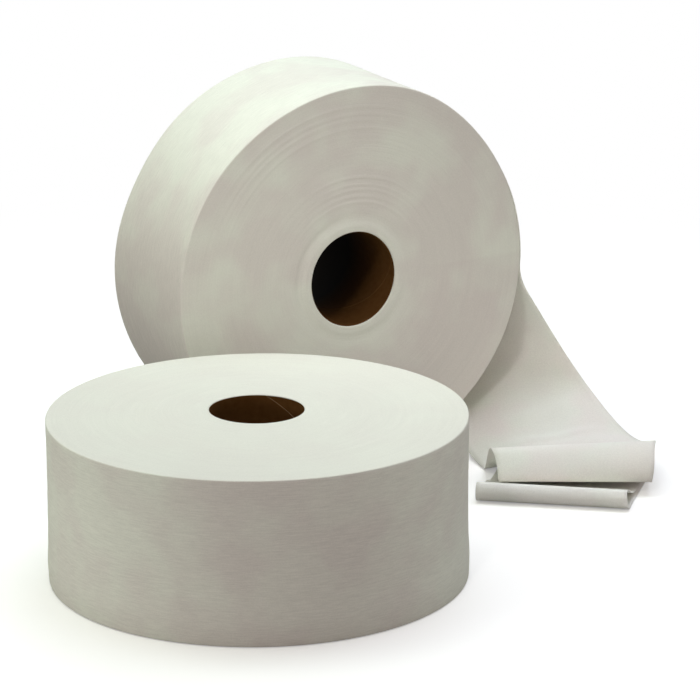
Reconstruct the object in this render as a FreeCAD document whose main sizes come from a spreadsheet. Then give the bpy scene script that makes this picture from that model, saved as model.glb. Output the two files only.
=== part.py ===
# Two large toilet paper rolls kept as a pair. The front roll lies on its end.
# The rear roll stands on its rim behind it, and its loose web falls to the floor in folds.
# Millimetres. +Z is up, +X is right and +Y points away from the viewer.
# The origin is on the floor, on the axis of the front roll.
import FreeCAD, Part
import Sketcher
import math
import os
import re

Vector = FreeCAD.Vector
UP = Vector(0, 0, 1)

# Driving dimensions, in millimetres and degrees
SIZES = {
    # both rolls
    "roll_diameter": 230.0,
    "web_width": 91.0,
    "core_bore": 54.0,
    "core_wall": 1.5,
    "rim_break": 0.6,
    # low rings in the ends, where turns were wound a little to one side
    "ring_count": 3,
    "ring_depth": 0.4,
    # where the rear roll stands
    "rear_turn": 28.7,
    "roll_gap": 26.0,
    "rear_slide": 138.0,
    "stand_flat": 0.4,
    # the loose web, from the rim to the first crease on the floor
    "web_thickness": 0.5,
    "lap_angle": 30.0,
    "leave_angle": 4.0,
    "near_pull": 53.0,
    "near_set_back": 8.0,
    "far_pull": 66.0,
    "far_swing": 8.0,
    "landing_pull": 26.0,
    "valley_right": 27.0,
    "valley_forward": 68.0,
    "valley_turn": 5.5,
    "valley_skew": 25.0,
    # the upper fold stands like a tent in front of the first crease
    "ridge_forward": 30.0,
    "ridge_rise": 23.0,
    "ridge_tilt": 2.4,
    "ridge_skew": 21.0,
    "foot_forward": 20.5,
    "layer_gap": 1.2,
    "loop_height": 3.0,
    "crest_reach": 7.0,
    "belly_reach": 4.0,
    # the lower fold lies flat under the foot of the upper one
    "lower_height": 8.0,
    "lower_forward": 13.5,
    "lower_left": 13.5,
    "lower_turn": 4.4,
    "under_depth": 41.0,
    "end_short": 12.0,
}

doc = FreeCAD.newDocument("ToiletPaperRollPair")
sheet = doc.addObject("Spreadsheet::Sheet", "Sizes")
for row, (alias, value) in enumerate(SIZES.items(), start=1):
    sheet.set(f"A{row}", alias)
    sheet.set(f"B{row}", str(value))
    sheet.setAlias(f"B{row}", alias)
doc.recompute()


def size(expression):
    # the value now of an expression in the sheet's aliases
    value = sheet.evalExpression(expression)
    return float(getattr(value, "Value", value))


def bound(expression):
    # the same expression as other objects of the document read it
    return re.sub(r"\b([a-z]+(_[a-z]+)+)\b", r"Sizes.\1", expression)


# Sketches whose corners follow the sheet
def newSketch(body, role, name):
    plane = next(f for f in body.Origin.OriginFeatures if f.Role == role)
    sketch = body.newObject("Sketcher::SketchObject", name)
    sketch.AttachmentSupport = [(plane, "")]
    sketch.MapMode = "FlatFace"
    return sketch


def addPolygon(sketch, corners):
    # each corner is a pair of expressions: across and along
    spots = [Vector(size(across), size(along), 0) for across, along in corners]
    first = sketch.GeometryCount
    count = len(spots)
    for i in range(count):
        sketch.addGeometry(Part.LineSegment(spots[i], spots[(i + 1) % count]), False)
    for i in range(count):
        following = first + (i + 1) % count
        sketch.addConstraint(Sketcher.Constraint("Coincident", first + i, 2, following, 1))
    for i, (across, along) in enumerate(corners):
        column = sketch.addConstraint(Sketcher.Constraint("DistanceX", -1, 1, first + i, 1, spots[i].x))
        sketch.setExpression(f"Constraints[{column}]", bound(across))
        line = sketch.addConstraint(Sketcher.Constraint("DistanceY", -1, 1, first + i, 1, spots[i].y))
        sketch.setExpression(f"Constraints[{line}]", bound(along))


def addCircle(sketch, radius):
    circle = sketch.addGeometry(Part.Circle(Vector(0, 0, 0), UP, size(radius)), False)
    sketch.addConstraint(Sketcher.Constraint("Coincident", circle, 3, -1, 1))
    rule = sketch.addConstraint(Sketcher.Constraint("Radius", circle, size(radius)))
    sketch.setExpression(f"Constraints[{rule}]", bound(radius))


# A roll's paper is one turned section, with low rings in its ends.
CORE_OUTSIDE = "(core_bore / 2 + core_wall)"
RIM = "roll_diameter / 2"


def endProfile(surface, outwards):
    # from the bore to the rim along one end; every second turn line lies a little deeper
    bands = 2 * int(size("ring_count"))
    reach = f"({RIM} - rim_break - {CORE_OUTSIDE})"
    corners = []
    for i in range(bands + 1):
        depth = f"{outwards * (i % 2)} * ring_depth"
        corners.append((f"{CORE_OUTSIDE} + {reach} * {i / bands}", f"{surface} - {depth}"))
    return corners


def paperSection(flatBottom):
    # along the bottom from the bore, up the rim and back along the top
    bottom = endProfile("0", -1)
    if flatBottom:
        bottom = [bottom[0], bottom[-1]]
    rim = [(RIM, "rim_break"), (RIM, "web_width - rim_break")]
    return bottom + rim + endProfile("web_width", 1)[::-1]


def rollPaper(label, flatBottom):
    body = doc.addObject("PartDesign::Body", label)
    section = newSketch(body, "XZ_Plane", label + "_section")
    addPolygon(section, paperSection(flatBottom))
    doc.recompute()
    turned = body.newObject("PartDesign::Revolution", label + "_turned")
    turned.Profile = section
    turned.ReferenceAxis = (section, ["V_Axis"])
    turned.Angle = 360
    doc.recompute()
    return body


def coreTube(label):
    body = doc.addObject("PartDesign::Body", label)
    ring = newSketch(body, "XY_Plane", label + "_ring")
    addCircle(ring, "core_bore / 2")
    addCircle(ring, CORE_OUTSIDE)
    tube = body.newObject("PartDesign::Pad", label + "_tube")
    tube.Profile = ring
    tube.setExpression("Length", "Sizes.web_width")
    doc.recompute()
    return body


def flattenFoot(body):
    # the soft rim is pressed flat where the roll stands on it
    block = newSketch(body, "XY_Plane", body.Name + "_foot")
    sole = f"{RIM} - stand_flat"
    addPolygon(block, [
        (f"-({RIM})", f"-({RIM} + stand_flat)"),
        (RIM, f"-({RIM} + stand_flat)"),
        (RIM, f"-({sole})"),
        (f"-({RIM})", f"-({sole})"),
    ])
    whole = body.Shape.Volume
    cut = body.newObject("PartDesign::Pocket", body.Name + "_flat")
    cut.Profile = block
    cut.Type = "ThroughAll"
    cut.Midplane = True
    doc.recompute()
    if not body.Shape.Volume < whole:
        raise RuntimeError(body.Name + ": the flat under the roll cut nothing")


# Where the rear roll stands. Its front end faces the viewer's left.
turn = math.radians(size("rear_turn"))
faceOut = Vector(math.sin(turn), -math.cos(turn), 0)
faceRight = Vector(math.cos(turn), math.sin(turn), 0)
rollRadius = size(RIM)
standHeight = rollRadius - size("stand_flat")
webWidth = size("web_width")
faceFoot = faceRight * size("rear_slide") - faceOut * (rollRadius + size("roll_gap"))
faceCentre = faceFoot + UP * standHeight
upright = FreeCAD.Rotation(UP, size("rear_turn")).multiply(FreeCAD.Rotation(Vector(1, 0, 0), 90))
rearPlace = FreeCAD.Placement(faceCentre - faceOut * webWidth, upright)


# The loose web
thickness = size("web_thickness")
FLOOR_CLEARANCE = 0.02
FALL_STEPS = 9
STRAIGHT_SHARE = 0.12
LONGEST_BEND = 0.35


def crease(forward, right, height, turned, tilt=0.0, skew=0.0):
    # both ends of a line across the web, measured from the first crease's middle
    drop = faceFoot + faceRight * rollRadius
    middle = Vector(
        drop.x + size("valley_right") + right,
        drop.y - size("valley_forward") - forward,
        height,
    )
    flat = Vector(math.cos(math.radians(turned)), math.sin(math.radians(turned)), 0)
    along = flat * math.cos(math.radians(tilt)) + UP * math.sin(math.radians(tilt))
    half = webWidth / 2 / math.cos(math.radians(skew))
    return middle - along * half, middle + along * half


def bezier(points, share):
    rest = 1 - share
    return (points[0] * rest ** 3 + points[1] * (3 * rest ** 2 * share)
            + points[2] * (3 * rest * share ** 2) + points[3] * share ** 3)


def fallingWeb(valley):
    # the web leaves the rim along a tangent, twists towards the viewer and lands on the floor
    angle = math.radians(size("leave_angle"))
    outward = faceRight * math.cos(angle) + UP * math.sin(angle)
    downward = faceRight * math.sin(angle) - UP * math.cos(angle)
    nearStart = faceCentre + outward * (rollRadius + thickness / 2)
    farStart = nearStart - faceOut * webWidth
    nearPull = downward * size("near_pull") - faceOut * size("near_set_back")
    farPull = downward * size("far_pull")
    landing = Vector(0, size("landing_pull"), 2 * thickness)
    farLanding = landing * 2 + Vector(size("far_swing"), 0, 0)
    near = [nearStart, nearStart + nearPull, valley[1] + landing, valley[1]]
    far = [farStart, farStart + farPull, valley[0] + farLanding, valley[0]]
    lines = [(farStart, nearStart)]
    lines.append((farStart + farPull * STRAIGHT_SHARE, nearStart + nearPull * STRAIGHT_SHARE))
    for i in range(1, FALL_STEPS):
        lines.append((bezier(far, i / FALL_STEPS), bezier(near, i / FALL_STEPS)))
    return lines


def foldedWeb():
    # the web's creases as (left end, right end), from the first one to the web's end
    floor = thickness / 2 + FLOOR_CLEARANCE
    gap = size("layer_gap")
    loop = size("loop_height")
    rise = size("ridge_rise")
    top = size("lower_height")
    ridge = size("ridge_forward")
    foot = ridge + size("foot_forward")
    front = foot + size("lower_forward")
    back = foot - size("under_depth")
    left = -size("lower_left")
    yaw = size("valley_turn")
    flatYaw = -size("lower_turn")
    tilt = size("ridge_tilt")
    skew = size("ridge_skew")
    valley = crease(0, 0, floor + gap, yaw, 0, size("valley_skew"))
    crest = crease(ridge, 0, rise, 0, tilt, skew)
    belly = crease((ridge + foot) / 2 + gap, 0, (rise + top) / 2 + gap, 0, tilt / 2, skew / 2)
    shin = crease(foot, 0, top + gap + loop, 0)
    heel = crease(foot - loop / 2, 0, top + gap, 0)
    behind = crease(back, left / 2, floor + loop, flatYaw / 2)
    under = crease(back, left / 2, floor, flatYaw / 2)
    toe = crease(front, left, floor, flatYaw)
    nose = crease(front + gap, left, top / 2, flatYaw)
    brow = crease(front - top / 2, left, top, flatYaw)
    end = crease(back + size("end_short"), left, floor + loop / 2, flatYaw)
    lines = [valley]
    for before, here, after, reach in (
        (valley, crest, belly, size("crest_reach")),
        (crest, belly, shin, size("belly_reach")),
        (belly, shin, heel, loop),
        (shin, heel, behind, loop),
        (heel, behind, under, loop),
        (behind, under, toe, loop),
        (under, toe, nose, loop),
        (toe, nose, brow, loop),
        (nose, brow, end, loop),
    ):
        lines += softBend(before, here, after, reach)
    return lines + [end]


def softBend(before, here, after, reach):
    # the line of a crease, with a line close before it and one close after it
    earlier = []
    later = []
    for back, spot, ahead in zip(before, here, after):
        earlier.append(spot + (back - spot) * min(reach / (back - spot).Length, LONGEST_BEND))
        later.append(spot + (ahead - spot) * min(reach / (ahead - spot).Length, LONGEST_BEND))
    return [tuple(earlier), here, tuple(later)]


def guidedEdge(points):
    # follows the points as a control polygon, so it never passes outside their corners
    degree = 3
    spans = len(points) - degree
    curve = Part.BSplineCurve()
    knots = [float(i) for i in range(spans + 1)]
    ends = [degree + 1]
    curve.buildFromPolesMultsKnots(points, ends + [1] * (spans - 1) + ends, knots, False, degree)
    return curve


def webSheet(lines):
    # a closed sheet of even thickness over straight lines between the web's two edges,
    # made of small flat facets so that it stays light
    columns = 3
    cuts = 3
    farEdge = guidedEdge([far for far, near in lines])
    nearEdge = guidedEdge([near for far, near in lines])
    rows = cuts * (len(lines) - 3)
    corners = []
    for row in range(rows + 1):
        far, near = farEdge.value(row / cuts), nearEdge.value(row / cuts)
        along = farEdge.tangent(row / cuts)[0] + nearEdge.tangent(row / cuts)[0]
        normal = (near - far).cross(along).normalize() * (thickness / 2)
        for side in (normal, -normal):
            for column in range(columns + 1):
                corners.append(far + (near - far) * (column / columns) + side)
    ring = 2 * (columns + 1)
    facets = []

    def addQuad(p, q, r, s):
        facets.append((p, q, r))
        facets.append((p, r, s))

    for row in range(rows):
        here, ahead = row * ring, (row + 1) * ring
        for column in range(columns):
            top, bottom = here + column, here + columns + 1 + column
            nextTop, nextBottom = ahead + column, ahead + columns + 1 + column
            addQuad(top, top + 1, nextTop + 1, nextTop)
            addQuad(bottom, nextBottom, nextBottom + 1, bottom + 1)
        last = columns
        addQuad(here, ahead, ahead + last + 1, here + last + 1)
        addQuad(here + last, here + ring - 1, ahead + ring - 1, ahead + last)
    for column in range(columns):
        start, finish = column, rows * ring + column
        addQuad(start, start + columns + 1, start + columns + 2, start + 1)
        addQuad(finish, finish + 1, finish + columns + 2, finish + columns + 1)
    skin = Part.Shape()
    skin.makeShapeFromMesh((corners, facets), 0.001)
    solid = Part.Solid(Part.Shell(skin.Faces))
    if solid.Volume < 0:
        solid.reverse()
    return solid


def lapOnRim():
    # the last stretch of the web that still lies on the rim
    back = faceCentre - faceOut * webWidth
    outer = Part.makeCylinder(rollRadius + thickness, webWidth, Vector(), UP, size("lap_angle"))
    inner = Part.makeCylinder(rollRadius, webWidth, Vector(), UP, size("lap_angle"))
    lap = outer.cut(inner)
    lap.rotate(Vector(), UP, size("leave_angle"))
    lap.Placement = FreeCAD.Placement(back, upright).multiply(lap.Placement)
    return lap


folds = foldedWeb()
tail = doc.addObject("Part::Feature", "rear_roll_tail")
hanging = webSheet(fallingWeb(folds[0]) + folds)
tail.Shape = hanging.fuse(lapOnRim()).removeSplitter()

frontPaper = rollPaper("front_roll_paper", True)
frontCore = coreTube("front_core")
rearPaper = rollPaper("rear_roll_paper", False)
flattenFoot(rearPaper)
rearPaper.Placement = rearPlace
rearCore = coreTube("rear_core")
rearCore.Placement = rearPlace
nodes = [frontPaper, frontCore, rearPaper, rearCore, tail]
doc.recompute()

# Checks, then one file for each piece
for item in doc.Objects:
    if "Invalid" in item.State or "Error" in item.State:
        raise RuntimeError(item.Name + " failed: " + ", ".join(item.State))
for node in nodes:
    if node.Shape.isNull() or not node.Shape.isValid() or len(node.Shape.Solids) != 1:
        raise RuntimeError(node.Label + " is not one valid solid")
os.makedirs("parts", exist_ok=True)
for node in nodes:
    node.Shape.exportStep(f"parts/{node.Label}.step")
    box = node.Shape.BoundBox
    print(node.Label, round(node.Shape.Volume / 1000, 2), "cm3,",
          f"x {box.XMin:.2f} to {box.XMax:.2f}, y {box.YMin:.2f} to {box.YMax:.2f},",
          f"z {box.ZMin:.2f} to {box.ZMax:.2f}")
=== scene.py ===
# Pair of large toilet paper rolls. One lies on its end in front, the other stands on its rim
# behind it, and the standing roll's loose web falls to the floor in two folds.
import math

import bpy
from mathutils import Matrix, Vector, noise


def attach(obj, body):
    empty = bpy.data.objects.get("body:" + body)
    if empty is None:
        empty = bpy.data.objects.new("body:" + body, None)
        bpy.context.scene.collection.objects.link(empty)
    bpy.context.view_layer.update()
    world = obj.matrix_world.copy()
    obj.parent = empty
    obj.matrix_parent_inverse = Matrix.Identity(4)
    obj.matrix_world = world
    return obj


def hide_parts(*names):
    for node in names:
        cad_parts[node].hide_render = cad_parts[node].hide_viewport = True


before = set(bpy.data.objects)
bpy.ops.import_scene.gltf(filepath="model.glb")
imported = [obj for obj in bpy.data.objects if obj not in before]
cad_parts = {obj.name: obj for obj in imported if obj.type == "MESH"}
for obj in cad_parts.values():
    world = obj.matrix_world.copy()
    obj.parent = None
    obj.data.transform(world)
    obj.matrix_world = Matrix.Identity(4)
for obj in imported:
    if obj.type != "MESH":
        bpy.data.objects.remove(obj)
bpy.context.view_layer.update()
scene = bpy.context.scene
mm = 0.001
fullTurn = math.radians(360)


# small helpers for working on the active piece
def clearSelection():
    if bpy.context.object and bpy.context.object.mode != "OBJECT":
        bpy.ops.object.mode_set(mode="OBJECT")
    bpy.ops.object.select_all(action="DESELECT")


def pickEdges(piece, test):
    # selects the edges whose middle passes the test and leaves the piece in edit mode
    bpy.ops.object.mode_set(mode="EDIT")
    bpy.ops.mesh.select_mode(type="EDGE")
    bpy.ops.mesh.select_all(action="DESELECT")
    bpy.ops.object.mode_set(mode="OBJECT")
    verts = piece.data.vertices
    for edge in piece.data.edges:
        a, b = edge.vertices
        edge.select = test((verts[a].co + verts[b].co) / 2)
    bpy.ops.object.mode_set(mode="EDIT")


def applyModifier(piece, kind, **values):
    modifier = piece.modifiers.new(kind.title(), kind)
    for key, value in values.items():
        setattr(modifier, key, value)
    bpy.ops.object.modifier_apply(modifier=modifier.name)


def smoothStep(low, high, value):
    share = min(max((value - low) / (high - low), 0.0), 1.0)
    return share * share * (3 - 2 * share)


def bump(middle, reach, value):
    # a soft hump, 1 at its middle
    return math.exp(-((value - middle) / reach) ** 2)


def turnBump(shape, angle):
    # the same round a roll, with its middle and reach in degrees
    middle, reach = shape
    return bump(math.radians(middle), math.radians(reach), angle)


def raised(shape, value):
    height, middle, reach = shape
    return height * bump(middle, reach, value)


# where the two rolls are; a roll is made round +Z with its shown end on top
rolls = {
    "radius": 115.0 * mm,
    "width": 91.0 * mm,
    "bore": 27.0 * mm,
    "rearTurn": math.radians(28.7),
    "gap": 26.0 * mm,
    "slide": 138.0 * mm,
    "standFlat": 0.4 * mm,
}
faceOut = Vector((math.sin(rolls["rearTurn"]), -math.cos(rolls["rearTurn"]), 0))
faceRight = Vector((math.cos(rolls["rearTurn"]), math.sin(rolls["rearTurn"]), 0))
up = Vector((0, 0, 1))
standHeight = rolls["radius"] - rolls["standFlat"]
faceFoot = faceRight * rolls["slide"] - faceOut * (rolls["radius"] + rolls["gap"])
faceCentre = faceFoot + up * standHeight
frontPlace = Matrix.Identity(4)
rearPlace = (
    Matrix.Translation(faceCentre - faceOut * rolls["width"])
    @ Matrix.Rotation(rolls["rearTurn"], 4, "Z")
    @ Matrix.Rotation(math.radians(90), 4, "X")
)


# wound paper: a flat section with its sides cut into turn lines, spun round the core
wound = {
    "steps": 208,
    "rimCuts": 34,
    "boreCuts": 8,
    "cornerRadius": 0.7 * mm,
    "cornerSteps": 3,
    # how far in from a flat end, or from the rim, its form fades out and begins to fade
    "endFade": (1.2 * mm, 0.3 * mm),
    "rimFade": (0.6 * mm, 0.1 * mm),
    "rimDepth": 12 * mm,
    "holeDepth": 14 * mm,
    "waveHeight": 60 * mm,
    "lineHeight": 5 * mm,
}


def spinSection(name, holeRadius, topCuts, bottomCuts):
    clearSelection()
    radius, width = rolls["radius"], rolls["width"]
    middle = (holeRadius + radius) / 2
    bpy.ops.mesh.primitive_plane_add(
        size=1, location=(middle, 0, width / 2), rotation=(math.radians(90), 0, 0))
    piece = bpy.context.object
    piece.name = name
    bpy.ops.transform.resize(value=(radius - holeRadius, 1, width))
    bpy.ops.object.transform_apply(location=True, rotation=True, scale=True)
    bpy.ops.object.mode_set(mode="EDIT")
    bpy.ops.mesh.select_all(action="SELECT")
    bpy.ops.mesh.delete(type="ONLY_FACE")
    bpy.ops.mesh.select_mode(type="VERT")
    bpy.ops.mesh.select_all(action="SELECT")
    bpy.ops.mesh.bevel(
        offset=wound["cornerRadius"], segments=wound["cornerSteps"], affect="VERTICES")
    tiny = 0.01 * mm
    pickEdges(piece, lambda spot: abs(spot.z - width) < tiny)
    for cuts in topCuts:
        bpy.ops.mesh.subdivide(number_cuts=cuts)
    pickEdges(piece, lambda spot: abs(spot.z) < tiny)
    bpy.ops.mesh.subdivide(number_cuts=bottomCuts)
    pickEdges(piece, lambda spot: abs(spot.x - radius) < tiny)
    bpy.ops.mesh.subdivide(number_cuts=wound["rimCuts"])
    pickEdges(piece, lambda spot: abs(spot.x - holeRadius) < tiny)
    bpy.ops.mesh.subdivide(number_cuts=wound["boreCuts"])
    bpy.ops.mesh.select_all(action="SELECT")
    bpy.ops.mesh.spin(steps=wound["steps"], angle=fullTurn, center=(0, 0, 0), axis=(0, 0, 1))
    bpy.ops.mesh.select_all(action="SELECT")
    bpy.ops.mesh.remove_doubles(threshold=tiny)
    bpy.ops.mesh.normals_make_consistent(inside=False)
    bpy.ops.object.mode_set(mode="OBJECT")
    bpy.ops.object.shade_smooth()
    return piece


def turnRelief(radius, angle, look):
    # height of the turns' edges over the flat end of a roll
    turned = Vector((math.cos(angle), math.sin(angle), 0)) * look["drift"]
    height = 0.0
    for pitch, depth in look["lines"]:
        spot = Vector((turned.x, turned.y, radius / pitch))
        height += noise.noise(spot + Vector((pitch / mm * 3, 0, 0))) * depth
    strength = 0.55 + 0.45 * noise.noise(Vector((turned.x * 2, turned.y * 2, radius / (18 * mm))))
    return height * strength


def shapeRoll(piece, look, place):
    # turn lines on both ends, a soft rim, the shape of the hole, and then the roll's place
    radius, width, hole = rolls["radius"], rolls["width"], look["holeRadius"]
    endOut, endIn = wound["endFade"]
    rimIn, rimOut = wound["rimFade"]
    rimMask = piece.data.attributes.new("rim", "FLOAT", "POINT")
    # painted light and shade for each point, which the material adds to the paper's tint and tone
    paintedShadingValues = piece.data.attributes.new("paintedShading", "FLOAT", "POINT")
    for vert in piece.data.vertices:
        spot = vert.co
        reach = math.hypot(spot.x, spot.y)
        angle = math.atan2(spot.y, spot.x) % fullTurn
        inward = smoothStep(radius - wound["cornerRadius"], radius - 2.5 * mm, reach)
        inward *= smoothStep(hole, hole + 2 * mm, reach)
        height = spot.z
        if spot.z > width / 2:
            top = smoothStep(width - endOut, width - endIn, spot.z)
            height += (turnRelief(reach, angle, look) * inward + look["topForm"](reach, angle)) * top
        else:
            bottom = smoothStep(endOut, endIn, spot.z)
            height += abs(turnRelief(reach, angle + 2.0, look)) * inward * bottom
        onRim = smoothStep(radius - rimIn, radius - rimOut, reach)
        rimMask.data[vert.index].value = onRim
        paintedShadingValues.data[vert.index].value = look["paintedShading"](angle, reach, onRim)
        around = Vector((math.cos(angle), math.sin(angle), 0))
        slow = around * 1.3 + up * (spot.z / wound["waveHeight"])
        quick = around * 0.6 + up * (spot.z / wound["lineHeight"])
        swell = noise.noise(slow + look["seed"]) * look["rimWave"]
        swell += noise.noise(quick + look["seed"]) * look["rimLines"]
        swell += look["rimForm"](spot.z, angle)
        grown = reach + swell * smoothStep(radius - wound["rimDepth"], radius, reach)
        nearHole = smoothStep(hole + wound["holeDepth"], hole, reach)
        grown += look["holeForm"](angle, spot.z) * nearHole
        vert.co = place @ Vector((around.x * grown, around.y * grown, height))
        vert.co.z = max(vert.co.z, 0.0)
    piece.data.update()


frontLook = {
    "holeRadius": 28.5 * mm,
    "lines": ((1.1 * mm, 0.035 * mm), (3.1 * mm, 0.03 * mm), (11 * mm, 0.05 * mm)),
    "drift": 0.8,
    "seed": Vector((3.1, 1.7, 0.4)),
    "rimWave": 0.35 * mm,
    "rimLines": 0.10 * mm,
    "middleLift": 2.7 * mm,
    "lipReach": 2.7 * mm,
    # humps as height, middle and reach
    "innerRing": (0.12 * mm, 33 * mm, 3 * mm),
    "spread": (0.55 * mm, 11 * mm, 9 * mm),
    "waist": (0.25 * mm, 50 * mm, 24 * mm),
    # where the side is painted in shade round the roll, in degrees
    "shadedSide": (286, 33),
}


def frontTopForm(reach, angle):
    # the middle turns stand a little higher, and the innermost ones lean over the core's end
    lift = frontLook["middleLift"] * smoothStep(86 * mm, 36 * mm, reach)
    return lift + raised(frontLook["innerRing"], reach)


def frontRimForm(height, angle):
    # the lowest turns spread where the weight rests on them
    return raised(frontLook["spread"], height) - raised(frontLook["waist"], height)


def frontHoleForm(angle, height):
    # the lip leans in over the core, and the hole is a little out of round
    lip = smoothStep(rolls["width"] - 0.9 * mm, rolls["width"] - 0.3 * mm, height)
    oval = 0.5 * mm * math.cos(2 * (angle + math.radians(43)))
    wobble = oval + 0.7 * mm * math.cos(angle + math.radians(166))
    return wobble * smoothStep(60 * mm, 88 * mm, height) * 0.5 - frontLook["lipReach"] * lip


def frontPaintedShading(angle, reach, onRim):
    # painted shade: the side is painted warmer and darker towards the front, and a little paler and
    # cooler round the rest of the side as painted light
    return (0.35 - 0.9 * turnBump(frontLook["shadedSide"], angle)) * onRim


frontLook["paintedShading"] = frontPaintedShading
frontLook["topForm"] = frontTopForm
frontLook["rimForm"] = frontRimForm
frontLook["holeForm"] = frontHoleForm

rearLook = {
    "holeRadius": 28.5 * mm,
    "lines": ((1.1 * mm, 0.05 * mm), (2.6 * mm, 0.045 * mm), (9 * mm, 0.05 * mm)),
    "drift": 1.0,
    "seed": Vector((0.3, 7.7, 2.4)),
    "rimWave": 0.35 * mm,
    "rimLines": 0.10 * mm,
    "collar": 0.4 * mm,
    "groove": (37.5 * mm, 2.6 * mm),
    "arcReach": 1.1 * mm,
    "innerArcs": (46.5 * mm, 50.0 * mm, 54.0 * mm, 57.0 * mm, 61.5 * mm),
    "outerArcs": (91.0 * mm, 96.0 * mm, 99.5 * mm, 104.0 * mm),
    # where each form lies round the roll: its middle and reach in degrees
    "grooveTurn": (150, 60),
    "innerTurn": (88, 42),
    "outerTurn": (115, 38),
    "tallTurn": (66, 20),
    "flatTurn": (114, 27),
    "backTurn": (150, 22),
    # where the painted light over the top, and the painted shade on the rim's side and low on the
    # flat end, lie
    "litTopTurn": (115, 45),
    "shadedRimTurn": (205, 38),
    "shadedEndTurn": (300, 50),
}


def rearTopForm(reach, angle):
    # a low collar round the hole, a shallow groove outside it, and a few proud turns further out
    form = rearLook["collar"] * smoothStep(35.5 * mm, 32 * mm, reach)
    left = turnBump(rearLook["grooveTurn"], angle)
    form -= (0.2 * mm + 0.4 * mm * left) * bump(*rearLook["groove"], reach)
    over = turnBump(rearLook["innerTurn"], angle)
    for arc in rearLook["innerArcs"]:
        form += 0.20 * mm * over * bump(arc, rearLook["arcReach"], reach)
    outer = turnBump(rearLook["outerTurn"], angle)
    for arc in rearLook["outerArcs"]:
        form += 0.18 * mm * outer * bump(arc, rearLook["arcReach"], reach)
    return form


def rearRimForm(height, angle):
    # the roll stands a little taller than round right of its top and is flatter to the left
    rise = smoothStep(math.radians(25), math.radians(95), angle)
    crown = rise * smoothStep(math.radians(165), math.radians(95), angle)
    behind = 1 - height / rolls["width"]
    form = (1.6 * mm + 1.0 * mm * behind) * crown
    form += 1.4 * mm * turnBump(rearLook["tallTurn"], angle)
    form -= (2.3 * mm + 0.4 * mm * behind) * turnBump(rearLook["flatTurn"], angle)
    return form - 2.6 * mm * behind * turnBump(rearLook["backTurn"], angle)


def rearHoleForm(angle, height):
    # the hole is pressed a little out of round towards its shown end
    wobble = 0.8 * mm * math.cos(angle + math.radians(156))
    wobble += 0.37 * mm * math.cos(2 * (angle - math.radians(73)))
    return wobble * smoothStep(50 * mm, 90 * mm, height)


def rearPaintedShading(angle, reach, onRim):
    # painted light and shade: the rim is painted cooler and paler over the top where the light falls
    # and darker on one side, and the flat end is painted warmer and darker low on the right as
    # painted shade
    overTop = 0.35 * turnBump(rearLook["litTopTurn"], angle)
    side = 0.7 * turnBump(rearLook["shadedRimTurn"], angle)
    low = turnBump(rearLook["shadedEndTurn"], angle) * smoothStep(35 * mm, 90 * mm, reach)
    return (overTop - side) * onRim - 0.9 * low * (1 - onRim)


rearLook["paintedShading"] = rearPaintedShading
rearLook["topForm"] = rearTopForm
rearLook["rimForm"] = rearRimForm
rearLook["holeForm"] = rearHoleForm

frontRoll = spinSection("front_roll", frontLook["holeRadius"], (100, 1), 44)
shapeRoll(frontRoll, frontLook, frontPlace)
rearRoll = spinSection("rear_roll", rearLook["holeRadius"], (100, 1), 90)
shapeRoll(rearRoll, rearLook, rearPlace)
print("rolls wound:", len(frontRoll.data.polygons), len(rearRoll.data.polygons))


# board tubes: a ring drawn up in short steps and turned a little at each, so that one
# row of edges follows the lap of the spiral board
tube = {
    "columns": 96,
    "rows": 52,
    "twist": math.radians(3.57) / mm,
    "wall": 1.3 * mm,
    "lapStep": 0.35 * mm,
    "lapWidth": 0.6 * mm,
    "lapFade": 9,
}


def boardTube(name, length, lapAngle, mouth, place):
    clearSelection()
    bpy.ops.mesh.primitive_circle_add(
        vertices=tube["columns"], radius=rolls["bore"], fill_type="NOTHING")
    piece = bpy.context.object
    piece.name = name
    step = length / tube["rows"]
    bpy.ops.object.mode_set(mode="EDIT")
    bpy.ops.mesh.select_all(action="SELECT")
    for row in range(tube["rows"]):
        bpy.ops.mesh.extrude_edges_move(TRANSFORM_OT_translate={"value": (0, 0, step)})
    bpy.ops.mesh.select_all(action="SELECT")
    bpy.ops.mesh.normals_make_consistent(inside=True)
    bpy.ops.object.mode_set(mode="OBJECT")
    plies = piece.data.attributes.new("ply", "FLOAT", "POINT")
    # how far into the tube each point lies, for the painted shade deep in the bore
    boreShadeDepths = piece.data.attributes.new("depth", "FLOAT", "POINT")
    column = fullTurn / tube["columns"]
    halfLap = tube["lapWidth"] / rolls["bore"] * 0.5
    for vert in piece.data.vertices:
        height = vert.co.z
        index = round((math.atan2(vert.co.y, vert.co.x) % fullTurn) / column) % tube["columns"]
        reach = rolls["bore"]
        # the board's edge stands in, and the next column drops back right beside it
        share = index / tube["columns"]
        reach -= tube["lapStep"] * max(0.0, 1 - share * tube["lapFade"]) if index else 0.0
        angle = index * column
        if index == 1:
            angle = halfLap
        elif index == 0:
            angle = -halfLap
        turned = lapAngle + angle + (height - length) * tube["twist"]
        reach += mouth(turned, height)
        plies.data[vert.index].value = share
        boreShadeDepths.data[vert.index].value = 1 - height / length
        vert.co = Vector((math.cos(turned) * reach, math.sin(turned) * reach, height))
    applyModifier(piece, "SOLIDIFY", thickness=tube["wall"], offset=-1)
    bpy.ops.object.shade_smooth_by_angle(angle=math.radians(40))
    piece.data.transform(place)
    for vert in piece.data.vertices:
        vert.co.z = max(vert.co.z, 0.0)
    piece.data.update()
    return piece


def frontMouth(angle, height):
    # the end of the front tube is pushed up with the middle turns and drawn in a little
    return -0.9 * mm * smoothStep(80 * mm, 92 * mm, height)


def rearMouth(angle, height):
    # the end of the rear tube is pressed a little wider and out of round
    shown = smoothStep(60 * mm, 90 * mm, height)
    return (1.05 * mm + rearHoleForm(angle, height) * 0.9) * shown


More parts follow.
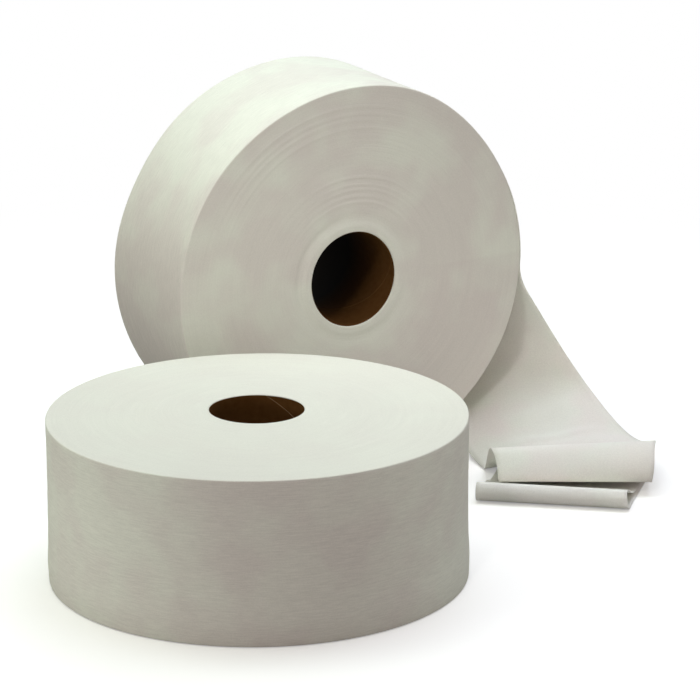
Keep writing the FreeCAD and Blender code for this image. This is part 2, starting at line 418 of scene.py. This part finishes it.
frontTube = boardTube(
    "front_tube", rolls["width"] + 2.3 * mm, math.radians(81.4), frontMouth, frontPlace)
rearTube = boardTube(
    "rear_tube", rolls["width"] - 0.8 * mm, math.radians(20.0), rearMouth, rearPlace)
print("tubes made")


# loose web: two edge lines drawn through the same creases, with a sheet hung between them
web = {
    "thickness": 0.35 * mm,
    "rows": 170,
    "columns": 26,
    # the valley before the upper fold: its lift, its place along the sheet and its reach
    "valleyLift": 5.0 * mm,
    "valleyAt": 0.37,
    "valleyReach": 0.055,
    # each crease: start along the sheet, slope across it, reach and depth
    "creases": ((0.33, -0.07, 0.012, 1.4 * mm), (0.37, -0.05, 0.010, 1.2 * mm)),
    "dents": 3.0 * mm,
    "lap": math.radians(34),
    "lapRows": 16,
    "lapSunk": 0.5 * mm,
    "leave": math.radians(-1),
    # a painted shadow on the sheet, where it lies and how dark it is, and how much paler the last
    # fold is painted as painted light
    "shadowAt": 0.30,
    "shadowReach": 0.08,
    "shadowTone": 0.15,
    "litFoldTone": 0.12,
}
# guide lines across the web in millimetres, each from its far or left end to its near or
# right end; the sheet follows them smoothly without touching the sharp corners
webGuides = [
    # down from the rim, turning towards the viewer
    ((110.4, 324.6, 106.0), (153.6, 245.8, 105.0)),
    ((110.4, 323.5, 96.0), (155.6, 248.2, 95.0)),
    ((110.4, 320.0, 84.0), (162.9, 250.0, 83.0)),
    ((110.6, 310.0, 67.0), (174.3, 250.5, 63.5)),
    ((111.5, 293.0, 48.0), (185.2, 249.0, 46.0)),
    ((112.5, 272.0, 33.0), (194.4, 243.0, 34.0)),
    ((114.0, 250.0, 21.0), (202.2, 232.0, 25.5)),
    ((116.0, 229.0, 12.0), (209.4, 216.5, 19.4)),
    ((119.2, 209.0, 5.0), (216.8, 205.5, 13.8)),
    ((123.2, 194.5, 1.9), (221.4, 198.5, 11.8)),
    ((127.4, 182.5, 0.5), (226.2, 190.0, 12.2)),
    # the first crease on the floor and the upper fold, a fat soft roll
    ((130.2, 175.5, 0.3), (229.8, 180.0, 13.0)),
    ((130.6, 170.0, 1.6), (231.4, 170.0, 16.0)),
    ((131.4, 159.0, 12.5), (231.6, 161.0, 21.0)),
    ((132.2, 150.0, 23.0), (230.4, 153.0, 25.4)),
    ((134.2, 142.0, 22.6), (229.8, 145.0, 26.2)),
    ((136.0, 135.5, 18.0), (228.6, 136.8, 24.0)),
    ((136.5, 130.0, 13.0), (228.2, 129.6, 19.4)),
    ((136.7, 127.6, 9.6), (227.4, 125.0, 13.0)),
    ((137.4, 128.4, 7.2), (226.2, 125.4, 7.0)),
    # back under the upper fold and down to the floor
    ((137.6, 138.0, 7.4), (226.6, 134.0, 7.2)),
    ((138.0, 160.0, 5.2), (229.0, 158.0, 5.2)),
    ((138.0, 168.0, 3.4), (229.0, 166.0, 3.4)),
    ((136.2, 164.0, 0.5), (228.0, 160.0, 0.5)),
    ((129.4, 141.0, 0.35), (218.5, 128.5, 0.35)),
    # the lower fold rolls over in front and its end lies inside the stack
    ((124.6, 121.5, 0.3), (212.6, 105.5, 0.3)),
    ((123.4, 115.2, 0.3), (211.2, 98.4, 0.3)),
    ((122.6, 112.2, 5.0), (209.9, 95.2, 5.2)),
    ((123.4, 117.0, 12.8), (209.6, 100.6, 12.8)),
    ((125.6, 126.0, 8.0), (212.6, 110.0, 8.0)),
    ((128.6, 140.0, 1.8), (216.2, 122.0, 1.7)),
    ((131.0, 152.0, 1.1), (219.6, 140.0, 1.1)),
]


def edgeSpot(points, share):
    # a smooth cubic line guided by the points
    spans = len(points) - 3
    knots = [0.0] * 3 + [float(i) for i in range(spans + 1)] + [float(spans)] * 3
    t = min(share * spans, spans - 1e-9)
    k = int(t) + 3
    work = [points[k - 3 + i] for i in range(4)]
    for level in range(1, 4):
        for i in range(3, level - 1, -1):
            low, high = knots[k - 3 + i], knots[k + 1 + i - level]
            mix = (t - low) / (high - low)
            work[i] = work[i - 1] * (1 - mix) + work[i] * mix
    return work[3]


def webGrid():
    outward = faceRight * math.cos(web["leave"]) + up * math.sin(web["leave"])
    leaving = (faceCentre + outward * (rolls["radius"] + web["thickness"] / 2)) / mm
    farPoints = [leaving - faceOut * (rolls["width"] / mm)] + [Vector(far) for far, near in webGuides]
    nearPoints = [leaving] + [Vector(near) for far, near in webGuides]
    grid = []
    for row in range(web["lapRows"]):
        # the lap lies on the rim and sinks into the turns at its start
        share = row / web["lapRows"]
        angle = web["leave"] + web["lap"] * (1 - share)
        outward = faceRight * math.cos(angle) + up * math.sin(angle)
        sunk = -web["lapSunk"] * (1 - smoothStep(0.0, 0.5, share))
        near = faceCentre + outward * (rolls["radius"] + web["thickness"] / 2 + sunk)
        grid.append((near - faceOut * rolls["width"], near))
    for row in range(web["rows"] + 1):
        share = row / web["rows"]
        grid.append((edgeSpot(farPoints, share) * mm, edgeSpot(nearPoints, share) * mm))
    return grid


def looseWeb():
    edges = webGrid()
    rows, columns = len(edges), web["columns"]
    clearSelection()
    bpy.ops.mesh.primitive_grid_add(x_subdivisions=columns, y_subdivisions=rows - 1, size=1)
    piece = bpy.context.object
    piece.name = "loose_web"
    # painted shadow and painted light for each point of the sheet
    paintedShadingValues = piece.data.attributes.new("paintedShading", "FLOAT", "POINT")
    spots = [(vert.co.x + 0.5, vert.co.y + 0.5) for vert in piece.data.vertices]
    for vert, (across, along) in zip(piece.data.vertices, spots):
        far, near = edges[round(along * (rows - 1))]
        arch = math.sin(math.pi * across)
        lift = web["valleyLift"] * arch * bump(web["valleyAt"], web["valleyReach"], along)
        for start, slope, reach, depth in web["creases"]:
            middle = smoothStep(0.12, 0.45, across) * smoothStep(0.98, 0.6, across)
            lift += depth * middle * bump(start + slope * across, reach, along)
        soft = noise.noise(Vector((across * 2.6, along * 9, 4.7))) * web["dents"]
        soft *= smoothStep(0.1, 0.2, along)
        lift += soft * arch * smoothStep(web["valleyAt"] + 0.15, web["valleyAt"], along)
        vert.co = far.lerp(near, across) + up * lift
        # a painted shadow low on the far side, and a paler last fold as painted light
        dark = web["shadowTone"] * bump(web["shadowAt"], web["shadowReach"], along)
        dark *= smoothStep(0.6, 0.1, across)
        paintedShadingValues.data[vert.index].value = web["litFoldTone"] * smoothStep(0.66, 0.76, along) - dark
    piece.data.update()
    applyModifier(piece, "SOLIDIFY", thickness=web["thickness"], offset=0)
    bpy.ops.object.shade_smooth()
    return piece


looseSheet = looseWeb()
print("loose web hung:", len(looseSheet.data.polygons))


# finishes
def setSockets(node, values):
    for key, value in values.items():
        node.inputs[key].default_value = value


def addNode(tree, kind, values=None, **settings):
    node = tree.nodes.new(kind)
    for key, value in settings.items():
        setattr(node, key, value)
    setSockets(node, values or {})
    return node


def link(tree, pairs):
    for start, end in pairs:
        tree.links.new(start, end)


def newGroup(name, inputs, outputs):
    group = bpy.data.node_groups.new(name, "ShaderNodeTree")
    for label, kind in inputs:
        group.interface.new_socket(name=label, in_out="INPUT", socket_type=kind)
    for label, kind in outputs:
        group.interface.new_socket(name=label, in_out="OUTPUT", socket_type=kind)
    return group, group.nodes.new("NodeGroupInput"), group.nodes.new("NodeGroupOutput")


def tissueGroup():
    # soft creped fibres: a fine height, and slow clouds of two near whites
    group, given, result = newGroup(
        "tissueFibres",
        [("Spot", "NodeSocketVector")],
        [("Height", "NodeSocketFloat"), ("Cloud", "NodeSocketFloat"), ("Fleck", "NodeSocketFloat")],
    )
    fine = addNode(group, "ShaderNodeTexNoise", {"Scale": 900.0, "Detail": 3.0, "Roughness": 0.6})
    soft = addNode(group, "ShaderNodeTexNoise", {"Scale": 260.0, "Detail": 2.0, "Roughness": 0.5})
    cloud = addNode(group, "ShaderNodeTexNoise", {"Scale": 24.0, "Detail": 2.0, "Roughness": 0.5})
    fleck = addNode(group, "ShaderNodeTexNoise", {"Scale": 1300.0, "Detail": 2.0, "Roughness": 0.6})
    mix = addNode(group, "ShaderNodeMath", {1: 0.6}, operation="MULTIPLY_ADD")
    link(group, [
        (given.outputs["Spot"], fine.inputs["Vector"]),
        (given.outputs["Spot"], soft.inputs["Vector"]),
        (given.outputs["Spot"], cloud.inputs["Vector"]),
        (given.outputs["Spot"], fleck.inputs["Vector"]),
        (soft.outputs["Fac"], mix.inputs[0]),
        (fine.outputs["Fac"], mix.inputs[2]),
        (mix.outputs[0], result.inputs["Height"]),
        (cloud.outputs["Fac"], result.inputs["Cloud"]),
        (fleck.outputs["Fac"], result.inputs["Fleck"]),
    ])
    return group


def turnGroup():
    # the turns of a wound roll, read in its own frame: lines round the flat ends, and
    # short streaks along the rim
    group, given, result = newGroup(
        "woundTurns",
        [("Spot", "NodeSocketVector"), ("Rim", "NodeSocketFloat")],
        [("Height", "NodeSocketFloat"), ("Tone", "NodeSocketFloat")],
    )
    flat = addNode(group, "ShaderNodeVectorMath", {1: (1, 1, 0)}, operation="MULTIPLY")
    reach = addNode(group, "ShaderNodeVectorMath", operation="LENGTH")
    around = addNode(group, "ShaderNodeVectorMath", operation="NORMALIZE")
    parts = addNode(group, "ShaderNodeSeparateXYZ")
    high = addNode(group, "ShaderNodeSeparateXYZ")
    lineSpot = addNode(group, "ShaderNodeCombineXYZ")
    streakSpot = addNode(group, "ShaderNodeCombineXYZ")
    lineScale = addNode(group, "ShaderNodeMath", {1: 1400.0}, operation="MULTIPLY")
    bandScale = addNode(group, "ShaderNodeMath", {1: 250.0}, operation="MULTIPLY")
    streakScale = addNode(group, "ShaderNodeMath", {1: 1500.0}, operation="MULTIPLY")
    slowTurn = addNode(group, "ShaderNodeVectorMath", {"Scale": 2.2}, operation="SCALE")
    quickTurn = addNode(group, "ShaderNodeVectorMath", {"Scale": 14.0}, operation="SCALE")
    quickParts = addNode(group, "ShaderNodeSeparateXYZ")
    bandSpot = addNode(group, "ShaderNodeCombineXYZ")
    lines = addNode(group, "ShaderNodeTexNoise", {"Scale": 1.0, "Detail": 3.0, "Roughness": 0.6})
    bands = addNode(group, "ShaderNodeTexNoise", {"Scale": 1.0, "Detail": 2.0, "Roughness": 0.5})
    streaks = addNode(group, "ShaderNodeTexNoise", {"Scale": 1.0, "Detail": 3.0, "Roughness": 0.65})
    endTone = addNode(group, "ShaderNodeMath", {1: 0.6}, operation="MULTIPLY_ADD")
    halfBands = addNode(group, "ShaderNodeMath", {1: 0.4}, operation="MULTIPLY")
    tone = addNode(group, "ShaderNodeMix", data_type="FLOAT")
    height = addNode(group, "ShaderNodeMix", data_type="FLOAT")
    link(group, [
        (given.outputs["Spot"], flat.inputs[0]),
        (given.outputs["Spot"], high.inputs[0]),
        (flat.outputs[0], reach.inputs[0]),
        (flat.outputs[0], around.inputs[0]),
        (around.outputs[0], slowTurn.inputs[0]),
        (around.outputs[0], quickTurn.inputs[0]),
        (slowTurn.outputs[0], parts.inputs[0]),
        (quickTurn.outputs[0], quickParts.inputs[0]),
        (reach.outputs["Value"], lineScale.inputs[0]),
        (reach.outputs["Value"], bandScale.inputs[0]),
        (high.outputs["Z"], streakScale.inputs[0]),
        (lineScale.outputs[0], lineSpot.inputs["X"]),
        (parts.outputs["X"], lineSpot.inputs["Y"]),
        (parts.outputs["Y"], lineSpot.inputs["Z"]),
        (bandScale.outputs[0], bandSpot.inputs["X"]),
        (parts.outputs["X"], bandSpot.inputs["Y"]),
        (parts.outputs["Y"], bandSpot.inputs["Z"]),
        (quickParts.outputs["X"], streakSpot.inputs["X"]),
        (quickParts.outputs["Y"], streakSpot.inputs["Y"]),
        (streakScale.outputs[0], streakSpot.inputs["Z"]),
        (lineSpot.outputs[0], lines.inputs["Vector"]),
        (bandSpot.outputs[0], bands.inputs["Vector"]),
        (streakSpot.outputs[0], streaks.inputs["Vector"]),
        (bands.outputs["Fac"], halfBands.inputs[0]),
        (lines.outputs["Fac"], endTone.inputs[0]),
        (halfBands.outputs[0], endTone.inputs[2]),
        (given.outputs["Rim"], tone.inputs[0]),
        (endTone.outputs[0], tone.inputs[2]),
        (streaks.outputs["Fac"], tone.inputs[3]),
        (given.outputs["Rim"], height.inputs[0]),
        (lines.outputs["Fac"], height.inputs[2]),
        (streaks.outputs["Fac"], height.inputs[3]),
        (height.outputs[0], result.inputs["Height"]),
        (tone.outputs[0], result.inputs["Tone"]),
    ])
    return group


tissueFibres = tissueGroup()
woundTurns = turnGroup()

paper = {
    "warm": (0.795, 0.752, 0.705, 1),
    "cool": (0.780, 0.800, 0.715, 1),
    "endContrast": 0.025,
    "rimContrast": 0.06,
    "sheetContrast": 0.045,
    "cloudTone": 0.055,
    # how strongly the painted light and shade lifts or lowers a roll's tone
    "paintedShadingTone": 0.06,
    "felt": 0.15,
    "lightReach": 0.0009,
}


# endTone and rimTone carry painted light and shade as well as the paper's own tone
def paperMaterial(name, endTone, rimTone, place=None, endClouds=1.0):
    material = bpy.data.materials.new(name)
    material.use_nodes = True
    tree = material.node_tree
    shader = tree.nodes["Principled BSDF"]
    setSockets(shader, {"Roughness": 0.9, "Specular IOR Level": 0.15})
    coords = addNode(tree, "ShaderNodeTexCoord")
    paintedShading = addNode(tree, "ShaderNodeAttribute", attribute_name="paintedShading")
    fibres = addNode(tree, "ShaderNodeGroup", node_tree=tissueFibres)
    ramp = addNode(tree, "ShaderNodeMapRange", {"From Min": 0.4, "From Max": 0.6})
    tint = addNode(tree, "ShaderNodeMix", data_type="RGBA")
    tint.inputs[6].default_value = paper["warm"]
    tint.inputs[7].default_value = paper["cool"]
    contrast = paper["endContrast"] if place else paper["sheetContrast"]
    shade = addNode(tree, "ShaderNodeMapRange", {
        "From Min": 0.3, "From Max": 0.7,
        "To Min": endTone - contrast, "To Max": endTone + contrast})
    toned = addNode(tree, "ShaderNodeMix", {0: 1.0}, data_type="RGBA", blend_type="MULTIPLY")
    relief = addNode(tree, "ShaderNodeBump", {"Strength": 0.25, "Distance": 0.0002})
    link(tree, [
        (coords.outputs["Object"], fibres.inputs["Spot"]),
        (fibres.outputs["Cloud"], ramp.inputs["Value"]),
        (tint.outputs[2], toned.inputs[6]),
        (toned.outputs[2], shader.inputs["Base Color"]),
        (fibres.outputs["Height"], relief.inputs["Height"]),
        (relief.outputs["Normal"], shader.inputs["Normal"]),
    ])
    if place is None:
        # the web's painted shadow and painted light are added to its tone
        shaded = addNode(tree, "ShaderNodeMath", operation="ADD")
        link(tree, [
            (ramp.outputs["Result"], tint.inputs["Factor"]),
            (fibres.outputs["Fleck"], shade.inputs["Value"]),
            (shade.outputs["Result"], shaded.inputs[0]),
            (paintedShading.outputs["Fac"], shaded.inputs[1]),
            (shaded.outputs[0], toned.inputs[7]),
        ])
        # a single sheet lets light through
        setSockets(shader, {
            "Subsurface Weight": 1.0,
            "Subsurface Radius": (1.0, 1.0, 1.0),
            "Subsurface Scale": paper["lightReach"],
        })
        return material
    back = place.inverted()
    own = addNode(tree, "ShaderNodeMapping", {
        "Location": back.to_translation(), "Rotation": back.to_euler()})
    rim = addNode(tree, "ShaderNodeAttribute", attribute_name="rim")
    turns = addNode(tree, "ShaderNodeGroup", node_tree=woundTurns)
    ridges = addNode(tree, "ShaderNodeBump", {"Strength": 0.3, "Distance": 0.0003})
    rimShade = addNode(tree, "ShaderNodeMapRange", {
        "From Min": 0.3, "From Max": 0.7,
        "To Min": rimTone - paper["rimContrast"], "To Max": rimTone + paper["rimContrast"]})
    tones = addNode(tree, "ShaderNodeMix", data_type="FLOAT")
    # the clouds are weaker on the flat ends of a roll
    low = 0.75 * (1 - endClouds)
    endCloud = addNode(tree, "ShaderNodeMapRange", {"To Min": low, "To Max": low + endClouds})
    rimCloud = addNode(tree, "ShaderNodeMapRange", {"To Min": 0.25, "To Max": 0.85})
    clouds = addNode(tree, "ShaderNodeMix", data_type="FLOAT")
    felted = addNode(tree, "ShaderNodeMath", {1: paper["felt"]}, operation="MULTIPLY_ADD")
    # the painted light and shade is added to the clouds, so it moves the tint and tone, and it also
    # lifts or lowers the end and rim tones
    withPaintedShading = addNode(tree, "ShaderNodeMath", operation="ADD", use_clamp=True)
    # the felt grain only adds, so half of it is taken off here
    cloudTone = addNode(tree, "ShaderNodeMapRange", {
        "To Min": -paper["cloudTone"] - paper["felt"] / 2,
        "To Max": paper["cloudTone"] - paper["felt"] / 2})
    clouded = addNode(tree, "ShaderNodeMath", operation="ADD")
    paintedShadingTone = addNode(tree, "ShaderNodeMath", {1: paper["paintedShadingTone"]}, operation="MULTIPLY_ADD")
    link(tree, [
        (coords.outputs["Object"], own.inputs["Vector"]),
        (ramp.outputs["Result"], endCloud.inputs["Value"]),
        (rim.outputs["Fac"], clouds.inputs[0]),
        (endCloud.outputs["Result"], clouds.inputs[2]),
        (ramp.outputs["Result"], rimCloud.inputs["Value"]),
        (rimCloud.outputs["Result"], clouds.inputs[3]),
        (clouds.outputs[0], withPaintedShading.inputs[0]),
        (paintedShading.outputs["Fac"], withPaintedShading.inputs[1]),
        (withPaintedShading.outputs[0], tint.inputs["Factor"]),
        (withPaintedShading.outputs[0], cloudTone.inputs["Value"]),
        (cloudTone.outputs["Result"], clouded.inputs[0]),
        (paintedShading.outputs["Fac"], paintedShadingTone.inputs[0]),
        (tones.outputs[0], paintedShadingTone.inputs[2]),
        (paintedShadingTone.outputs[0], clouded.inputs[1]),
        (own.outputs[0], turns.inputs["Spot"]),
        (rim.outputs["Fac"], turns.inputs["Rim"]),
        (turns.outputs["Tone"], shade.inputs["Value"]),
        (turns.outputs["Tone"], rimShade.inputs["Value"]),
        (rim.outputs["Fac"], tones.inputs[0]),
        (shade.outputs["Result"], tones.inputs[2]),
        (rimShade.outputs["Result"], tones.inputs[3]),
        (fibres.outputs["Fleck"], felted.inputs[0]),
        (clouded.outputs[0], felted.inputs[2]),
        (felted.outputs[0], toned.inputs[7]),
        (turns.outputs["Height"], ridges.inputs["Height"]),
        (ridges.outputs["Normal"], relief.inputs["Normal"]),
    ])
    return material


board = {
    "dark": (0.085, 0.034, 0.007, 1),
    "light": (0.125, 0.060, 0.020, 1),
    "edge": (0.34, 0.25, 0.17, 1),
}


def boardMaterial(name, shade, edgeShare, boreShadeTone):
    material = bpy.data.materials.new(name)
    material.use_nodes = True
    tree = material.node_tree
    shader = tree.nodes["Principled BSDF"]
    setSockets(shader, {"Roughness": 0.8, "Specular IOR Level": 0.03})
    coords = addNode(tree, "ShaderNodeTexCoord")
    grain = addNode(tree, "ShaderNodeTexNoise", {"Scale": 300.0, "Detail": 4.0})
    tint = addNode(tree, "ShaderNodeMix", data_type="RGBA")
    tint.inputs[6].default_value = [part * shade for part in board["dark"]]
    tint.inputs[7].default_value = [part * shade for part in board["light"]]
    # the cut edge of the spiral board shows as a thin paler line
    ply = addNode(tree, "ShaderNodeAttribute", attribute_name="ply")
    onEdge = addNode(tree, "ShaderNodeMapRange", {
        "From Min": 0.004, "From Max": 0.011, "To Min": edgeShare, "To Max": 0.0})
    edged = addNode(tree, "ShaderNodeMix", data_type="RGBA")
    edged.inputs[7].default_value = board["edge"]
    # painted shade: the far end of the bore is painted darker
    depth = addNode(tree, "ShaderNodeAttribute", attribute_name="depth")
    boreShade = addNode(tree, "ShaderNodeMapRange", {
        "From Min": 0.12, "From Max": 0.62, "To Min": 1.0, "To Max": boreShadeTone})
    boreShaded = addNode(tree, "ShaderNodeMix", {0: 1.0}, data_type="RGBA", blend_type="MULTIPLY")
    link(tree, [
        (coords.outputs["Object"], grain.inputs["Vector"]),
        (grain.outputs["Fac"], tint.inputs["Factor"]),
        (ply.outputs["Fac"], onEdge.inputs["Value"]),
        (onEdge.outputs["Result"], edged.inputs["Factor"]),
        (tint.outputs[2], edged.inputs[6]),
        (depth.outputs["Fac"], boreShade.inputs["Value"]),
        (edged.outputs[2], boreShaded.inputs[6]),
        (boreShade.outputs["Result"], boreShaded.inputs[7]),
        (boreShaded.outputs[2], shader.inputs["Base Color"]),
    ])
    return material


def dress(piece, material, slot, *nodes):
    piece.data.materials.clear()
    piece.data.materials.append(material)
    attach(piece, "root")
    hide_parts(*nodes)


# the ends and rims of each piece get their own tone: the rear roll and the web are painted paler and
# the front roll's rim darker, as painted light and shade over the paper's own tone
frontTissue = paperMaterial("front tissue", 1.01, 0.98, frontPlace, 0.12)
rearTissue = paperMaterial("rear tissue", 1.05, 1.04, rearPlace, 0.7)
looseTissue = paperMaterial("loose tissue", 1.04, 1.04)
# the last number is how dark the far end of each bore is painted, as painted shade
frontBoard = boardMaterial("front board", 0.95, 0.4, 1.0)
rearBoard = boardMaterial("rear board", 1.05, 0.06, 0.02)
dress(frontRoll, frontTissue, "tissue", "front_roll_paper")
dress(rearRoll, rearTissue, "tissue", "rear_roll_paper")
dress(frontTube, frontBoard, "core_board", "front_core")
dress(rearTube, rearBoard, "core_board", "rear_core")
dress(looseSheet, looseTissue, "tissue", "rear_roll_tail")
print("pieces dressed")


# floor, light and camera
studio = {
    "skyFront": 0.63,
    "floorBounce": 0.42,
    "floorLift": 0.30,
    "floorDrop": 0.4 * mm,
    "floorSize": 8,
    "fadeFrom": 0.32,
    "fadeTo": 0.85,
    "aim": (0.05, 0.1, 0.08),
    "spotSoftness": 0.12,
}


def aimed(name, kind, spot, aim, power, colour):
    data = bpy.data.lights.new(name, kind)
    data.energy = power
    data.color = colour
    lamp = bpy.data.objects.new(name, data)
    scene.collection.objects.link(lamp)
    lamp.location = spot
    lamp.rotation_euler = (Vector(aim) - Vector(spot)).to_track_quat("-Z", "Y").to_euler()
    return data


def areaLamp(name, spot, size, power, colour):
    data = aimed(name, "AREA", spot, studio["aim"], power, colour)
    data.shape = "SQUARE"
    data.size = size


def softSpot(name, spot, aim, angle, power, colour):
    data = aimed(name, "SPOT", spot, aim, power, colour)
    data.spot_size = math.radians(angle)
    data.spot_blend = 1.0
    data.shadow_soft_size = studio["spotSoftness"]


areaLamp("key", (0.35, 0.6, 1.9), 1.4, 20.0, (0.82, 0.88, 0.98))
areaLamp("left key", (-0.8, 0.3, 1.5), 1.0, 7.0, (0.86, 1.0, 0.80))
areaLamp("left fill", (-1.7, -0.6, 0.7), 0.9, 0.4, (1.0, 1.0, 1.0))
areaLamp("right fill", (1.5, 1.0, 0.5), 0.9, 2.0, (1.0, 1.0, 1.0))
softSpot("face spot", (-0.6, -1.3, 1.3), (0.01, 0.12, 0.22), 11, 37.0, (1.0, 0.98, 0.95))
softSpot("side spot", (-1.4, -0.7, 0.3), (-0.1, -0.06, 0.045), 11, 23.0, (1.0, 0.99, 0.94))
softSpot("web spot", (1.2, 0.8, 0.9), (0.155, 0.26, 0.12), 9, 25.0, (1.0, 0.99, 0.95))
softSpot("fold spot", (-0.3, -1.4, 1.3), (0.185, 0.10, 0.0), 5.5, 45.0, (1.0, 1.0, 0.97))

sky = bpy.data.worlds.new("sky")
sky.use_nodes = True
scene.world = sky
skyTree = sky.node_tree
skyShader = skyTree.nodes["Background"]
skyShader.inputs["Color"].default_value = (1.0, 0.93, 0.87, 1)
skyCoords = addNode(skyTree, "ShaderNodeTexCoord")
skyParts = addNode(skyTree, "ShaderNodeSeparateXYZ")
skyLevel = addNode(skyTree, "ShaderNodeMapRange", {
    "From Min": -1.0, "From Max": 1.0, "To Min": studio["skyFront"], "To Max": 0.0})
link(skyTree, [
    (skyCoords.outputs["Generated"], skyParts.inputs[0]),
    (skyParts.outputs["Y"], skyLevel.inputs["Value"]),
    (skyLevel.outputs["Result"], skyShader.inputs["Strength"]),
])
plain = addNode(skyTree, "ShaderNodeBackground", {"Color": (1, 1, 1, 1), "Strength": 1.0})
paths = addNode(skyTree, "ShaderNodeLightPath")
seen = addNode(skyTree, "ShaderNodeMath", operation="MAXIMUM")
seenThrough = addNode(skyTree, "ShaderNodeMath", operation="MAXIMUM")
choose = addNode(skyTree, "ShaderNodeMixShader")
link(skyTree, [
    (paths.outputs["Is Camera Ray"], seen.inputs[0]),
    (paths.outputs["Is Glossy Ray"], seen.inputs[1]),
    (seen.outputs[0], seenThrough.inputs[0]),
    (paths.outputs["Is Transmission Ray"], seenThrough.inputs[1]),
    (seenThrough.outputs[0], choose.inputs["Fac"]),
    (skyShader.outputs[0], choose.inputs[1]),
    (plain.outputs[0], choose.inputs[2]),
    (choose.outputs[0], skyTree.nodes["World Output"].inputs["Surface"]),
])

clearSelection()
bpy.ops.mesh.primitive_plane_add(size=studio["floorSize"], location=(0, 0, -studio["floorDrop"]))
floor = bpy.context.object
floor.name = "floor"
floorMaterial = bpy.data.materials.new("pale floor")
floorMaterial.use_nodes = True
floorTree = floorMaterial.node_tree
floorTree.nodes.remove(floorTree.nodes["Principled BSDF"])
bounce = studio["floorBounce"]
bounceColour = (bounce, bounce * 0.97, bounce * 0.93, 1)
dull = addNode(floorTree, "ShaderNodeBsdfDiffuse", {"Color": bounceColour})
matte = addNode(floorTree, "ShaderNodeBsdfDiffuse", {"Color": (0.93, 0.93, 0.92, 1)})
lift = addNode(floorTree, "ShaderNodeEmission", {
    "Color": (1, 1, 1, 1), "Strength": studio["floorLift"]})
white = addNode(floorTree, "ShaderNodeEmission", {"Color": (1, 1, 1, 1), "Strength": 1.0})
lit = addNode(floorTree, "ShaderNodeAddShader")
faded = addNode(floorTree, "ShaderNodeMixShader")
shown = addNode(floorTree, "ShaderNodeMixShader")
eye = addNode(floorTree, "ShaderNodeLightPath")
floorCoords = addNode(floorTree, "ShaderNodeTexCoord")
away = addNode(floorTree, "ShaderNodeVectorMath", operation="LENGTH")
fade = addNode(floorTree, "ShaderNodeMapRange", {
    "From Min": studio["fadeFrom"], "From Max": studio["fadeTo"]}, interpolation_type="SMOOTHSTEP")
link(floorTree, [
    (floorCoords.outputs["Object"], away.inputs[0]),
    (away.outputs["Value"], fade.inputs["Value"]),
    (matte.outputs[0], lit.inputs[0]),
    (lift.outputs[0], lit.inputs[1]),
    (fade.outputs["Result"], faded.inputs["Fac"]),
    (lit.outputs[0], faded.inputs[1]),
    (white.outputs[0], faded.inputs[2]),
    (eye.outputs["Is Camera Ray"], shown.inputs["Fac"]),
    (dull.outputs[0], shown.inputs[1]),
    (faded.outputs[0], shown.inputs[2]),
    (shown.outputs[0], floorTree.nodes["Material Output"].inputs["Surface"]),
])
floor.data.materials.append(floorMaterial)

view = {
    "spot": (0.05043, -1.81238, 0.66354),
    "down": math.radians(73.5),
    "roll": math.radians(-0.26),
    "lens": 180.0,
}
cameraData = bpy.data.cameras.new("camera")
cameraData.lens = view["lens"]
cameraData.sensor_width = 36.0
camera = bpy.data.objects.new("camera", cameraData)
scene.collection.objects.link(camera)
turned = Matrix.Rotation(view["down"], 4, "X") @ Matrix.Rotation(view["roll"], 4, "Z")
camera.matrix_world = Matrix.Translation(view["spot"]) @ turned
scene.camera = camera
scene.view_settings.view_transform = "Standard"
